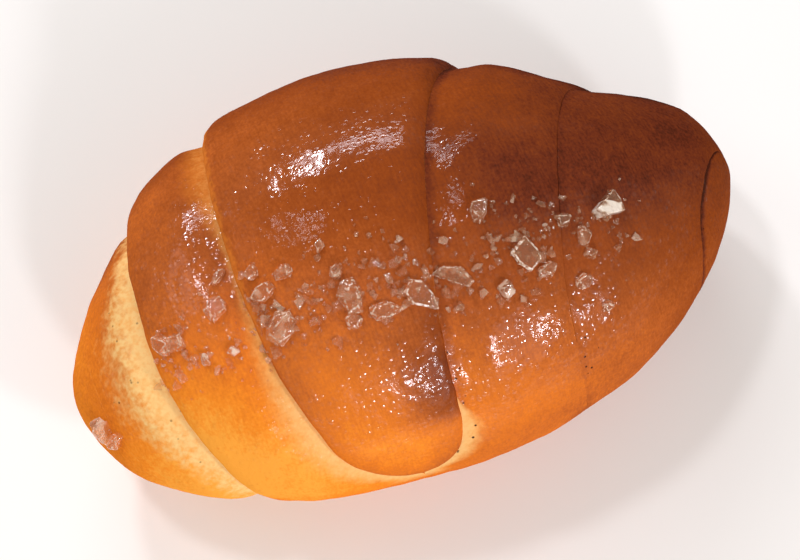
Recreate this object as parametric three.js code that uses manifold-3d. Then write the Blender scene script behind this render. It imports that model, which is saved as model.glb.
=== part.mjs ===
// A salt butter roll: one tapering strip of dough, wound up from its wide end to its
// narrow tip and baked, with coarse salt along its crest.
// Millimetres, +Z up, +X along the roll. It stands on the plane Z = 0, and the strip's
// tip ends on the side that faces -Y.

import * as THREE from 'three';
import { ConvexGeometry } from 'three/addons/geometries/ConvexGeometry.js';
import { mergeVertices } from 'three/addons/utils/BufferGeometryUtils.js';
import Module from 'manifold-3d';

const { clamp, degToRad, euclideanModulo, lerp, smoothstep } = THREE.MathUtils;
const FULL_TURN = 2 * Math.PI;

// Size of the whole roll
const HALF_LENGTH = 60;
const HALF_WIDTH = 36.2;
const EGG_SHARE = 0.041; // the -X half is wider than the +X half by this share each way
const LEFT_TAPER = 1.0; // power of the taper towards the -X end, seen from above
const RIGHT_TAPER = 1.27; // the same towards the +X end
const BOW = 2.6; // how far the roll's middle is bowed towards +Y
const LEAN = -3.4; // and how much less on its +X half
const WAIST_HEIGHT = 21; // height of the widest line above the base
const WAIST_DROP = 3; // the widest line is this much lower at the ends
const CREST_RISE = 29; // from the widest line up to the crest
const CREST_TAPER = 1.1;
const UNDERSIDE_FALL = 27; // from the widest line down to the underside, before it is flattened
const UNDERSIDE_TAPER = 1.2;
const SHOULDER_RISE = 2.7; // the +X end is blunt on its +Y side, where it swells out
const SHOULDER_PLACE = 55.5;
const SHOULDER_LENGTH = 5.7;
const HOLLOW_DEPTH = 1.9; // beside that shoulder the roll draws in
const HOLLOW_PLACE = 39.7;
const HOLLOW_LENGTH = 11.8;

// The strip as it lies in the roll, counted in turns back from its outer tip
const TIP_AROUND = degToRad(82); // where the tip ends, from the crest down the -Y side
const TIP_HALF_WIDTH = 11.5;
const TIP_TURNS = 0.07; // length of the tip's round end
const GROWTH_PER_TURN = 19.5; // of the strip's half width
const SWELL = 2.3; // how much more the strip spread on top than underneath
const SWELL_PHASE = degToRad(79);
const STRIP_START = -3.3; // the strip's middle at the tip, along the roll
const STRIP_DRIFT = -1.4; // how it moves along the roll with the turns
const STRIP_TURNING = 2.26; // and with the square of the turns
const STRIP_SWAY = 9.4; // the strip was wound a little askew, so each turn sways along the roll
const SWAY_PHASE = degToRad(51.5);
const SWAY_TURNS = 3.2; // the sway dies out towards the core
const CLOSING_START = 2.1; // from here on the strip's edges close over the roll's ends
const CORE_TURNS = 3; // where they reach the ends
const ALL_TURNS = 4; // the last turn is the core's two end caps

// The fold where each layer lies on the one under it
const LIP_LENGTH = 4; // the rounded margin of the upper layer
const LIP_MOST_SHARE = 0.5; // of the margin that shows
const LIP_DROP = 1.2;
const SOFT_LIP_DROP = 1.4; // towards +X and +Y, a margin has grown onto the layer under it
const SOFT_START = degToRad(15); // from here down the -Y side it is free again
const SOFT_END = degToRad(50);
const FOOT_LENGTH = 9; // the lower layer dips to pass under the lip
const FOOT_MOST_SHARE = 0.8;
const LEFT_FOOT_DEPTH = 2.3;
const RIGHT_FOOT_DEPTH = 1.8;
const TUCK = 0.8; // how far the lower layer shows under the lip
const TIP_THIN_TURNS = 0.08; // the strip thins out to nothing at its tip
const LEFT_FADE_START = 2.45; // from so many turns on, the folds get shallower towards the core
const RIGHT_FADE_START = 1.5;
const FADE_LENGTH = 0.55;
const LEFT_CORE_FOLD_SHARE = 0.1; // of the full depth, at the core
const RIGHT_CORE_FOLD_SHARE = 0.3;
const LEFT_SINK = 3.6; // the layers towards the -X end sink in on their +Y side
const SINK_START = 1;
const SINK_END = 2.2;
const FULL_RELIEF_RADIUS = 20; // nearer to the roll's ends the folds get shallower
const PRESSED_HEIGHT = 1; // below this the folds are pressed flat into the base
const FREE_HEIGHT = 6;

// How finely the crust is divided
const COLUMNS = 60; // for each turn
const SHARES = [0, 0.04, 0.12, 0.3, 0.6, 0.86, 1]; // from the strip's edge to where it goes under

// Coarse salt. The large crystals lie where they fell: millimetres along the roll, and
// degrees from the crest towards -Y.
const LARGE_CRYSTALS = [
  { along: 33, around: 12, length: 5.4, width: 5, height: 2.8, turn: 30 },
  { along: 16.5, around: 17.5, length: 6.2, width: 5.8, height: 2, turn: 10 },
  { along: -1.5, around: 19.5, length: 6.8, width: 4.6, height: 2, turn: -25 },
  { along: -7, around: 21, length: 6.4, width: 3.4, height: 1.8, turn: -15 },
  { along: -11.5, around: 14, length: 6, width: 4.6, height: 2.2, turn: 75 },
  { along: -12.5, around: 20.5, length: 3.4, width: 2.6, height: 1.6, turn: 20 },
  { along: 5, around: 17, length: 7.4, width: 3.8, height: 1.8, turn: 5 },
  { along: 12, around: 2, length: 4.2, width: 3.6, height: 1.8, turn: 60 },
  { along: 12, around: 24.5, length: 3.8, width: 2.8, height: 2, turn: 80 },
  { along: 19, around: 24, length: 3.4, width: 2.8, height: 1.6, turn: 20 },
  { along: 25, around: 11.5, length: 2.8, width: 2.4, height: 1.6, turn: 0 },
  { along: 27, around: 18, length: 4, width: 2.8, height: 1.8, turn: 70 },
  { along: 25, around: 31.5, length: 3, width: 2.4, height: 1.6, turn: 40 },
  { along: -23, around: 15.5, length: 6, width: 5.2, height: 2.4, turn: 45 },
  { along: -24, around: 6, length: 3.8, width: 3, height: 1.8, turn: 10 },
  { along: -20, around: 3, length: 3.8, width: 2.4, height: 1.6, turn: 0 },
  { along: -32, around: 5, length: 4.2, width: 3.8, height: 1.8, turn: 60 },
  { along: -41.5, around: 8, length: 4.2, width: 3.4, height: 2, turn: 80 },
  { along: -39, around: 10.5, length: 3.8, width: 3, height: 1.8, turn: 20 },
  { along: -12, around: 6, length: 3, width: 2.4, height: 1.6, turn: 30 },
  { along: -56, around: 41, length: 5.8, width: 3.8, height: 3.6, turn: 30 },
];
const CRYSTAL_SIDES = 6;
const CORNER_SHIFT = 0.7; // how unevenly a crystal's corners are spread, as a share of their spacing
const CORNER_REACH = [0.8, 1]; // of half the crystal's length and width
const TOP_SHARE = [0.6, 0.95]; // size of a crystal's top beside its bottom
const TOP_TIPPING = 0.5; // how much higher one end of the top is, as a share of its height
const GRAIN_COUNT = 40;
const GRAIN_SIDES = 4;
const GRAIN_LENGTH = [1.2, 2.2];
const GRAIN_WIDTH_SHARE = 0.8; // of its length
const GRAIN_HEIGHT_SHARE = 0.7;
const SALTED_ALONG = [-44, 38]; // the salted part of the roll's length
const SALTED_AROUND = degToRad(13); // the line that the salt lies about, and its spread
const SALTED_SPREAD = degToRad(17);
const SUNK_SHARE = 0.42; // of a crystal's height that is sunk in the crust
const LEAST_SUNK = 0.6;
const SALT_SEED = 26;

// The strip's half width after so many turns
function stripHalfWidth(turns) {
  const swell = SWELL * Math.sin(FULL_TURN * turns - SWELL_PHASE);
  const tipShare = Math.min(1, turns / TIP_TURNS);
  const tipRounding = Math.sqrt(1 - (1 - tipShare) ** 2);
  return (TIP_HALF_WIDTH + GROWTH_PER_TURN * turns + swell) * tipRounding;
}

// Where the strip's middle lies along the roll
function stripMiddle(turns) {
  const sway = STRIP_SWAY * (1 - (turns / SWAY_TURNS) ** 3);
  const drift = STRIP_DRIFT * turns + STRIP_TURNING * turns ** 2;
  return STRIP_START + drift - sway * Math.cos(FULL_TURN * turns - SWAY_PHASE);
}

// A place along the roll is held as an angle, -90 to 90 degrees from one end to the other.
// side is -1 or 1, for the strip's edge towards -X or +X.
function edgeAngle(side, turns) {
  const free = stripMiddle(turns) + side * stripHalfWidth(turns);
  const closing = smoothstep(turns, CLOSING_START, CORE_TURNS);
  const place = lerp(free, side * HALF_LENGTH, closing);
  return Math.asin(clamp(place / HALF_LENGTH, -1, 1));
}

// The margin that shows reaches in to the edge of the layer above. The last turn, with
// nothing above it, reaches to its own middle line, which runs back to the tip.
function innerAngle(side, turns) {
  if (turns >= 1) {
    return edgeAngle(side, turns - 1);
  }
  const backToTip = (stripMiddle(0) - stripMiddle(1)) * turns;
  return Math.asin((stripMiddle(turns) + backToTip) / HALF_LENGTH);
}

function stripThickness(turns) {
  return Math.sqrt(clamp(turns / TIP_THIN_TURNS, 0, 1));
}

// The roll without its folds: its half width, a point of it, and the way out from it
function halfWidth(along) {
  const taper = along < 0 ? LEFT_TAPER : RIGHT_TAPER;
  return HALF_WIDTH * (1 - EGG_SHARE * Math.sin(along)) * Math.cos(along) ** taper;
}

function plainPoint(along, around) {
  const towardsEnd = Math.sin(along);
  const inward = Math.cos(along);
  const up = Math.cos(around);
  const rise = CREST_RISE * inward ** CREST_TAPER;
  const fall = UNDERSIDE_FALL * inward ** UNDERSIDE_TAPER;
  const bow = (BOW + LEAN * towardsEnd) * inward ** 2;
  return new THREE.Vector3(
    HALF_LENGTH * towardsEnd,
    bow - halfWidth(along) * Math.sin(around),
    WAIST_HEIGHT - WAIST_DROP * towardsEnd ** 2 + (up > 0 ? rise : fall) * up,
  );
}

function outward(along, around) {
  const across = Math.cos(along);
  return new THREE.Vector3(
    Math.sin(along) / HALF_LENGTH,
    (-across * Math.sin(around)) / HALF_WIDTH,
    (across * Math.cos(around)) / CREST_RISE,
  ).normalize();
}

// How much of the folds' full depth there is at a place
function reliefShare(along, around) {
  const height = plainPoint(along, around).z;
  const free = clamp((height - PRESSED_HEIGHT) / (FREE_HEIGHT - PRESSED_HEIGHT), 0, 1);
  return free * Math.min(1, halfWidth(along) / FULL_RELIEF_RADIUS);
}

// How much a place belongs to the +Y side: 1 on it, 0 on the -Y side
function farShare(around) {
  return (0.5 - 0.5 * Math.sin(around)) ** 2;
}

// How far the layers of the -X end have sunk in
function sinkDepth(side, turns, around) {
  return side < 0 ? LEFT_SINK * farShare(around) * smoothstep(turns, SINK_START, SINK_END) : 0;
}

// The hollow and the shoulder of the +X end, as a depth
function shoulderDepth(along, around) {
  const place = HALF_LENGTH * Math.sin(along);
  const shoulder = SHOULDER_RISE * Math.exp(-(((place - SHOULDER_PLACE) / SHOULDER_LENGTH) ** 2));
  const hollow = HOLLOW_DEPTH * Math.exp(-(((place - HOLLOW_PLACE) / HOLLOW_LENGTH) ** 2));
  return (hollow - shoulder) * farShare(around);
}

// How deep a fold is, by the turns of the layer that goes under
function foldShare(side, turns) {
  const start = side < 0 ? LEFT_FADE_START : RIGHT_FADE_START;
  const coreShare = side < 0 ? LEFT_CORE_FOLD_SHARE : RIGHT_CORE_FOLD_SHARE;
  return lerp(1, coreShare, smoothstep(turns, start, start + FADE_LENGTH));
}

// How far a layer's margin has grown onto the layer under it
function softShare(side, around) {
  return side < 0 ? 0 : 1 - smoothstep(around, SOFT_START, SOFT_END);
}

// A point of the crust. share is 0 at the strip's edge and 1 where the strip goes under.
function crustPoint(side, column, share) {
  const turns = column / COLUMNS;
  const around = TIP_AROUND - (FULL_TURN * (column % COLUMNS)) / COLUMNS;
  const outer = edgeAngle(side, turns);
  const inner = innerAngle(side, turns);
  const thicknessAbove = turns >= 1 ? stripThickness(turns - 1) : 0;
  const tuck = ((TUCK * thicknessAbove) / HALF_LENGTH) * reliefShare(inner, around);
  const along = lerp(outer, inner - side * tuck, share);

  const width = HALF_LENGTH * Math.abs(inner - outer);
  const lipSpan = Math.min(LIP_LENGTH / width, LIP_MOST_SHARE);
  const intoLip = Math.min(1, share / lipSpan);
  const lipGap = 1 - intoLip;
  const soft = softShare(side, around);
  const fullLipDrop = lerp(LIP_DROP, SOFT_LIP_DROP, soft);
  const lipDrop = fullLipDrop * foldShare(side, turns + 1) * stripThickness(turns);
  const lip = lipDrop * lerp(1 - Math.sqrt(1 - lipGap ** 2), lipGap ** 2, soft);
  const footSpan = Math.min(FOOT_LENGTH / width, FOOT_MOST_SHARE);
  const intoFoot = (1 - share) / footSpan;
  const footDepth = (side < 0 ? LEFT_FOOT_DEPTH : RIGHT_FOOT_DEPTH) * foldShare(side, turns);
  const foot = footDepth * thicknessAbove * (1 - smoothstep(intoFoot, 0, 1));
  const depth = lip + foot + sinkDepth(side, turns, around) + shoulderDepth(along, around);

  const point = plainPoint(along, around);
  point.addScaledVector(outward(along, around), -depth * reliefShare(along, around));
  point.z = Math.max(0, point.z);
  return point;
}

// The whole crust: on both sides of the strip's middle, rows from its edge to where it
// goes under, and one more up to the edge of the layer above.
function crustGeometry() {
  const positions = [];
  const triangles = [];
  const rows = SHARES.length + 1;
  for (const side of [-1, 1]) {
    const first = positions.length / 3;
    for (let column = 0; column <= ALL_TURNS * COLUMNS; column += 1) {
      const points = SHARES.map((share) => crustPoint(side, column, share));
      const above = column >= COLUMNS ? crustPoint(side, column - COLUMNS, 0) : points.at(-1);
      for (const point of [...points, above]) {
        positions.push(point.x, point.y, point.z);
      }
    }
    for (let column = 0; column < ALL_TURNS * COLUMNS; column += 1) {
      for (let row = 0; row + 1 < rows; row += 1) {
        const a = first + column * rows + row;
        const b = a + rows;
        const quad = [a, b, b + 1, a, b + 1, a + 1];
        triangles.push(...(side < 0 ? quad.toReversed() : quad));
      }
    }
  }
  const geometry = new THREE.BufferGeometry();
  geometry.setAttribute('position', new THREE.Float32BufferAttribute(positions, 3));
  geometry.setIndex(triangles);
  return geometry;
}

// The crust under a place given in millimetres along the roll and an angle around it
function crustUnder(place, around) {
  const along = Math.asin(place / HALF_LENGTH);
  const firstTurn = euclideanModulo((TIP_AROUND - around) / FULL_TURN, 1);
  for (let turns = firstTurn; turns < ALL_TURNS; turns += 1) {
    for (const side of [-1, 1]) {
      const outer = edgeAngle(side, turns);
      const share = (along - outer) / (innerAngle(side, turns) - outer);
      if (share >= 0 && share <= 1) {
        return crustPoint(side, turns * COLUMNS, share);
      }
    }
  }
  return plainPoint(along, around);
}

// A repeatable stream of numbers from 0 to 1, by the mulberry32 rule
function seededNumbers(seed) {
  let state = seed;
  return () => {
    state = (state + 0x6d2b79f5) | 0;
    let mixed = Math.imul(state ^ (state >>> 15), 1 | state);
    mixed = (mixed + Math.imul(mixed ^ (mixed >>> 7), 61 | mixed)) ^ mixed;
    return ((mixed ^ (mixed >>> 14)) >>> 0) / 4294967296;
  };
}

// A broken crystal: an uneven polygon below, and a smaller one above that is tipped
function crystalGeometry(random, sides, length, width, height) {
  const points = [];
  const sunk = Math.max(LEAST_SUNK, height * SUNK_SHARE);
  const tipping = TOP_TIPPING * (random() - 0.5);
  for (let corner = 0; corner < sides; corner += 1) {
    const angle = (FULL_TURN * (corner + CORNER_SHIFT * random())) / sides;
    const reach = lerp(...CORNER_REACH, random());
    const x = 0.5 * length * reach * Math.cos(angle);
    const y = 0.5 * width * reach * Math.sin(angle);
    const topShare = lerp(...TOP_SHARE, random());
    const top = height * (1 - SUNK_SHARE) * (1 + (2 * tipping * x) / length);
    points.push(new THREE.Vector3(x, y, -sunk));
    points.push(new THREE.Vector3(x * topShare, y * topShare, top));
  }
  return new ConvexGeometry(points);
}

function placedCrystal(geometry, place, around, turn) {
  const along = Math.asin(place / HALF_LENGTH);
  const standing = new THREE.Vector3(0, 0, 1);
  const tilt = new THREE.Quaternion().setFromUnitVectors(standing, outward(along, around));
  const spin = new THREE.Quaternion().setFromAxisAngle(standing, turn);
  const oneScale = new THREE.Vector3(1, 1, 1);
  const matrix = new THREE.Matrix4().compose(crustUnder(place, around), tilt.multiply(spin), oneScale);
  return geometry.applyMatrix4(matrix);
}

function saltGeometries() {
  const random = seededNumbers(SALT_SEED);
  const crystals = LARGE_CRYSTALS.map(({ along, around, length, width, height, turn }) => {
    const crystal = crystalGeometry(random, CRYSTAL_SIDES, length, width, height);
    return placedCrystal(crystal, along, degToRad(around), degToRad(turn));
  });
  for (let grain = 0; grain < GRAIN_COUNT; grain += 1) {
    const place = lerp(...SALTED_ALONG, (grain + random()) / GRAIN_COUNT);
    const around = SALTED_AROUND + SALTED_SPREAD * (random() + random() - 1);
    const length = lerp(...GRAIN_LENGTH, random() ** 2);
    const width = length * GRAIN_WIDTH_SHARE;
    const height = length * GRAIN_HEIGHT_SHARE;
    const crystal = crystalGeometry(random, GRAIN_SIDES, length, width, height);
    crystals.push(placedCrystal(crystal, place, around, FULL_TURN * random()));
  }
  return crystals;
}

// Closed solids from meshes, and back
function solidOf(wasm, geometry) {
  const bare = geometry.clone();
  bare.deleteAttribute('normal');
  bare.deleteAttribute('uv');
  const merged = mergeVertices(bare);
  const corners = merged.index.array;
  const triVerts = [];
  for (let start = 0; start < corners.length; start += 3) {
    const [a, b, c] = corners.slice(start, start + 3);
    if (a !== b && b !== c && c !== a) {
      triVerts.push(a, b, c);
    }
  }
  const mesh = new wasm.Mesh({
    numProp: 3,
    vertProperties: Float32Array.from(merged.attributes.position.array),
    triVerts: Uint32Array.from(triVerts),
  });
  return new wasm.Manifold(mesh);
}

function geometryOf(solid) {
  const mesh = solid.getMesh();
  const geometry = new THREE.BufferGeometry();
  geometry.setAttribute('position', new THREE.Float32BufferAttribute(mesh.vertProperties, 3));
  geometry.setIndex(Array.from(mesh.triVerts));
  geometry.computeVertexNormals();
  return geometry;
}

const wasm = await Module();
wasm.setup();
let rollSolid = solidOf(wasm, crustGeometry());
for (const crystal of saltGeometries()) {
  rollSolid = rollSolid.add(solidOf(wasm, crystal));
}

const bakedCrust = new THREE.MeshStandardMaterial({ color: '#a9581f', roughness: 0.4, metalness: 0 });
const roll = new THREE.Mesh(geometryOf(rollSolid), bakedCrust);
roll.name = 'roll';

const saltButterRoll = new THREE.Group();
saltButterRoll.add(roll);

export default saltButterRoll;
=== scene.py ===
# A salt butter roll, dressed: one tapering strip of dough wound up and baked under egg wash,
# with coarse salt along its crest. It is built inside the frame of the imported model.

import math
import random
import bmesh
import bpy
from mathutils import Matrix, Vector
from mathutils.bvhtree import BVHTree


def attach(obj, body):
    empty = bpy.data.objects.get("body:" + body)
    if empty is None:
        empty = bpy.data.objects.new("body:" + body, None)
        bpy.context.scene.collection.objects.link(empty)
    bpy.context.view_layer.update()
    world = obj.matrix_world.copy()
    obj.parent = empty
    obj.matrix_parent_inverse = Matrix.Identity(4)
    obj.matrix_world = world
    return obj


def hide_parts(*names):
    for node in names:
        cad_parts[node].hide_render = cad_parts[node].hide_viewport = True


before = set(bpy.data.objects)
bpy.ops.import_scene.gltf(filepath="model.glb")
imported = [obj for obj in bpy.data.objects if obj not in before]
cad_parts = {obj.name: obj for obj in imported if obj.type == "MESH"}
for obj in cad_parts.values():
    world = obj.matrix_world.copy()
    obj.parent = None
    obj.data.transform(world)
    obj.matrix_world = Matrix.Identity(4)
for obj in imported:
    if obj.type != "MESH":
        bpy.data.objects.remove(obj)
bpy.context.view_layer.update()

# The wound strip of dough. One long triangle of enriched dough, rolled up from its wide end
# to its tip, proved and baked. Each turn lies on the one under it, so that the margins of the
# turns below show on both sides of the last one, whose tip is pressed on at the near side.

MM = 0.001
FULL_TURN = 2 * math.pi
QUARTER_TURN = FULL_TURN / 4
DEGREES_PER_RADIAN = 360 / FULL_TURN

# Sizes in millimetres, turns and radians. Turns are counted back from the strip's outer tip,
# the -X side is called left and the +X side right.
STRIP_SIZES = {
    "half length": 60.0,
    "waist half width": 36.2,
    "egg share": 0.041,
    "left taper": 1.0,
    "right taper": 1.27,
    "bow": 2.6,
    "lean": -3.4,
    "waist height": 21.0,
    "waist drop": 3.0,
    "crest rise": 29.0,
    "crest taper": 1.1,
    "underside fall": 27.0,
    "underside taper": 1.2,
    "shoulder rise": 2.7,
    "shoulder place": 55.5,
    "shoulder length": 5.7,
    "hollow depth": 1.9,
    "hollow place": 39.7,
    "hollow length": 11.8,
    "tip around": math.radians(82),
    "tip half width": 11.5,
    "tip turns": 0.07,
    "growth per turn": 19.5,
    "swell": 2.3,
    "swell phase": math.radians(79),
    "strip start": -3.3,
    "strip drift": -1.4,
    "strip turning": 2.26,
    "strip sway": 9.4,
    "sway phase": math.radians(51.5),
    "sway turns": 3.2,
    "closing start": 2.1,
    "core turns": 3.0,
    "all turns": 4.0,
    "lip length": 4.0,
    "lip drop": 1.2,
    "soft lip drop": 1.75,
    "soft start": math.radians(15),
    "soft end": math.radians(50),
    "soft layer start": 0.95,
    "soft layer end": 1.05,
    "foot length": 9.0,
    "left foot depth": 2.3,
    "right foot depth": 1.8,
    "tuck": 0.8,
    "thin turns": 0.08,
    "left sink": 3.6,
    "sink start": 1.0,
    "sink end": 2.2,
    "left fade start": 2.45,
    "right fade start": 1.5,
    "fade length": 0.55,
    "left core fold share": 0.0,
    "right core fold share": 0.3,
    "core fold start": 0.5,
    "core fold end": 1.0,
    "full relief radius": 20.0,
    "pressed height": 1.0,
    "free height": 6.0,
    "swelling depth": 0.7,
    "swelling size": 17.0,
    "wrinkle depth": 0.16,
    "wrinkle size": 3.4,
}
LIP_MOST_SHARE = 0.5
FOOT_MOST_SHARE = 0.8
LEAST_WIDTH = 0.01
ALMOST_ONE_TURN = 0.99999
POLE_CAP = 0.02
LAST_ALONG = QUARTER_TURN - POLE_CAP

# The flat sheets that are wound up, one for each margin: their half size, their distance from
# the middle, and their points
SHEET_HALF = 0.5
SHEET_OFFSET = 2.0
COLUMNS_PER_TURN = 240
ROWS = 40
ROW_CROWDING = 0.8
MERGE_DISTANCE = 0.004 * MM

# The swellings start a little above the base, and no place may be lower than LOWEST_PLACE, in
# metres: the base in height, and far outside the roll in the other two ways
SWELLING_START = 0.5 * MM
SWELLING_FULL = 6 * MM
LOWEST_PLACE = (-1.0, -1.0, 0.0)
NOISE_MIDDLE = 0.5

# The lists of steps below are node trees: each step names its result, an operation and its
# terms. A LINEAR or SMOOTHSTEP step is a fade: what is measured, where the fade starts and
# ends, and the value before and after it.

# The margin's edge after so many turns, as an angle along the roll from -90 to 90 degrees
EDGE_STEPS = [
    ("turn angle", "MULTIPLY", "turns", FULL_TURN),
    ("swell angle", "SUBTRACT", "turn angle", "swell phase"),
    ("swelling", "SINE", "swell angle"),
    ("even half width", "MULTIPLY_ADD", "turns", "growth per turn", "tip half width"),
    ("swollen half width", "MULTIPLY_ADD", "swelling", "swell", "even half width"),
    ("tip gap", "LINEAR", "turns", 0, "tip turns", 1, 0),
    ("tip gap square", "MULTIPLY", "tip gap", "tip gap"),
    ("tip fill", "SUBTRACT", 1, "tip gap square"),
    ("tip rounding", "SQRT", "tip fill"),
    ("strip half width", "MULTIPLY", "swollen half width", "tip rounding"),
    ("sway share", "DIVIDE", "turns", "sway turns"),
    ("sway share cube", "POWER", "sway share", 3),
    ("sway left", "SUBTRACT", 1, "sway share cube"),
    ("sway angle", "SUBTRACT", "turn angle", "sway phase"),
    ("sway way", "COSINE", "sway angle"),
    ("sway", "MULTIPLY", "sway left", "strip sway", "sway way"),
    ("drift rate", "MULTIPLY_ADD", "turns", "strip turning", "strip drift"),
    ("drift", "MULTIPLY_ADD", "turns", "drift rate", "strip start"),
    ("strip middle", "SUBTRACT", "drift", "sway"),
    ("free edge", "MULTIPLY_ADD", "side", "strip half width", "strip middle"),
    ("edge place", "SMOOTHSTEP", "turns", "closing start", "core turns", "free edge", "roll end"),
    ("edge sine", "LINEAR", "edge place", "left end", "half length", -1, 1),
    ("edge", "ARCSINE", "edge sine"),
]

# The roll without its folds at an angle along and around it, and how deep folds may be there
PLAIN_STEPS = [
    ("end way", "SINE", "along"),
    ("inward bare", "COSINE", "along"),
    ("inward", "MAXIMUM", "inward bare", 0),
    ("right half", "GREATER_THAN", "along", 0),
    ("taper", "LINEAR", "right half", 0, 1, "left taper", "right taper"),
    ("tapering", "POWER", "inward", "taper"),
    ("egg lack", "MULTIPLY", "end way", "egg share"),
    ("egg fill", "SUBTRACT", 1, "egg lack"),
    ("roll half width", "MULTIPLY", "egg fill", "waist half width", "tapering"),
    ("up way", "COSINE", "around"),
    ("near way", "SINE", "around"),
    ("rise taper", "POWER", "inward", "crest taper"),
    ("rise", "MULTIPLY", "rise taper", "crest rise"),
    ("fall taper", "POWER", "inward", "underside taper"),
    ("fall", "MULTIPLY", "fall taper", "underside fall"),
    ("top half", "GREATER_THAN", "up way", 0),
    ("upright reach", "LINEAR", "top half", 0, 1, "fall", "rise"),
    ("drop here", "MULTIPLY", "end way", "end way", "waist drop"),
    ("waist here", "SUBTRACT", "waist height", "drop here"),
    ("plain z", "MULTIPLY_ADD", "upright reach", "up way", "waist here"),
    ("bow here", "MULTIPLY_ADD", "end way", "lean", "bow"),
    ("bowed", "MULTIPLY", "inward", "inward", "bow here"),
    ("near reach", "MULTIPLY", "roll half width", "near way"),
    ("plain y", "SUBTRACT", "bowed", "near reach"),
    ("plain x", "MULTIPLY", "half length", "end way"),
    ("lifted", "LINEAR", "plain z", "pressed height", "free height", 0, 1),
    ("thick", "LINEAR", "roll half width", 0, "full relief radius", 0, 1),
    ("relief", "MULTIPLY", "lifted", "thick"),
]

# From a place on the flat sheet to turns, side and share of the margin. The last row climbs
# from under the layer above to that layer's edge.
SHEET_STEPS = [
    ("sheet share", "ADD", "sheet x", SHEET_HALF),
    ("own turns", "MULTIPLY", "sheet share", "all turns"),
    ("side", "SIGN", "sheet y"),
    ("roll end", "MULTIPLY", "side", "half length"),
    ("left end", "MULTIPLY", "half length", -1),
    ("row place", "ABSOLUTE", "sheet y"),
    ("row share", "LINEAR", "row place", "first row", "last row", 0, 1),
    ("row angle", "MULTIPLY", "row share", FULL_TURN),
    ("row wave", "SINE", "row angle"),
    ("row shift", "MULTIPLY", "row wave", ROW_CROWDING / FULL_TURN),
    ("crowded share", "SUBTRACT", "row share", "row shift"),
    ("is climbing row", "GREATER_THAN", "row place", "climbing row"),
    ("is covered", "GREATER_THAN", "own turns", ALMOST_ONE_TURN),
    ("climbs", "MULTIPLY", "is climbing row", "is covered"),
    ("turns", "SUBTRACT", "own turns", "climbs"),
    ("stays", "SUBTRACT", 1, "climbs"),
    ("share", "MULTIPLY", "crowded share", "stays"),
    ("unwound angle", "MULTIPLY", "turns", FULL_TURN),
    ("wound around", "SUBTRACT", "tip around", "unwound angle"),
    ("around", "WRAP", "wound around", math.pi, -math.pi),
    ("left share", "LINEAR", "side", -1, 1, 1, 0),
    ("right share", "SUBTRACT", 1, "left share"),
    ("soft here", "SMOOTHSTEP", "around", "soft start", "soft end", 1, 0),
    ("soft layer", "SMOOTHSTEP", "turns", "soft layer start", "soft layer end", 0, 1),
    ("soft place", "MAXIMUM", "soft here", "soft layer"),
    ("softness", "MULTIPLY", "soft place", "right share"),
    ("freedom", "SUBTRACT", 1, "softness"),
    ("turns before", "SUBTRACT", "turns", 1),
    ("above turns", "MAXIMUM", "turns before", 0),
]

# The inner end of the margin: the edge of the layer above, or the strip's own middle line
INNER_STEPS = [
    ("tip return", "MULTIPLY", "turns", "return per turn"),
    ("own middle", "ADD", "strip middle", "tip return"),
    ("own middle sine", "DIVIDE", "own middle", "half length"),
    ("own middle angle", "ARCSINE", "own middle sine"),
    ("lies under", "GREATER_THAN", "turns", ALMOST_ONE_TURN),
    ("inner", "LINEAR", "lies under", 0, 1, "own middle angle", "above edge"),
    ("fold along", "ADD", "inner", 0),
    ("thickness share", "LINEAR", "turns", 0, "thin turns", 0, 1),
    ("thickness", "SQRT", "thickness share"),
    ("above share", "LINEAR", "turns before", 0, "thin turns", 0, 1),
    ("thickness above", "SQRT", "above share"),
]

# How far the folds fade towards the core, and where the point lies along the roll, tucked a
# little under the layer above. Points close to an end of the roll are drawn to its pole.
ALONG_STEPS = [
    ("right core here", "SMOOTHSTEP", "around", "core fold start", "core fold end",
     "right core fold share", 0),
    ("core share", "LINEAR", "left share", 0, 1, "right core here", "left core fold share"),
    ("fade start", "LINEAR", "side", -1, 1, "left fade start", "right fade start"),
    ("fade end", "ADD", "fade start", "fade length"),
    ("turns after", "ADD", "turns", 1),
    ("lip fade", "SMOOTHSTEP", "turns after", "fade start", "fade end", 1, "core share"),
    ("foot fade", "SMOOTHSTEP", "turns", "fade start", "fade end", 1, "core share"),
    ("tuck reach", "MULTIPLY", "tuck", "thickness above"),
    ("tuck angle", "DIVIDE", "tuck reach", "half length"),
    ("side tuck", "MULTIPLY", "tuck angle", "freedom", "foot fade", "fold relief", "side"),
    ("under", "SUBTRACT", "inner", "side tuck"),
    ("free along", "LINEAR", "share", 0, 1, "edge", "under"),
    ("free along size", "ABSOLUTE", "free along"),
    ("at pole", "GREATER_THAN", "free along size", LAST_ALONG),
    ("pole", "MULTIPLY", "side", QUARTER_TURN),
    ("along", "LINEAR", "at pole", 0, 1, "free along", "pole"),
]


def bell_steps(form, height):
    """Steps for a rounded form across the right end: a bell curve along the roll."""
    return [
        (f"{form} way", "SUBTRACT", "plain x", f"{form} place"),
        (f"{form} gap", "DIVIDE", f"{form} way", f"{form} length"),
        (f"{form} fall", "MULTIPLY", f"{form} gap", f"{form} gap", -1),
        (f"{form} share", "EXPONENT", f"{form} fall"),
        (form, "MULTIPLY", f"{form} share", height),
    ]


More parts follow.
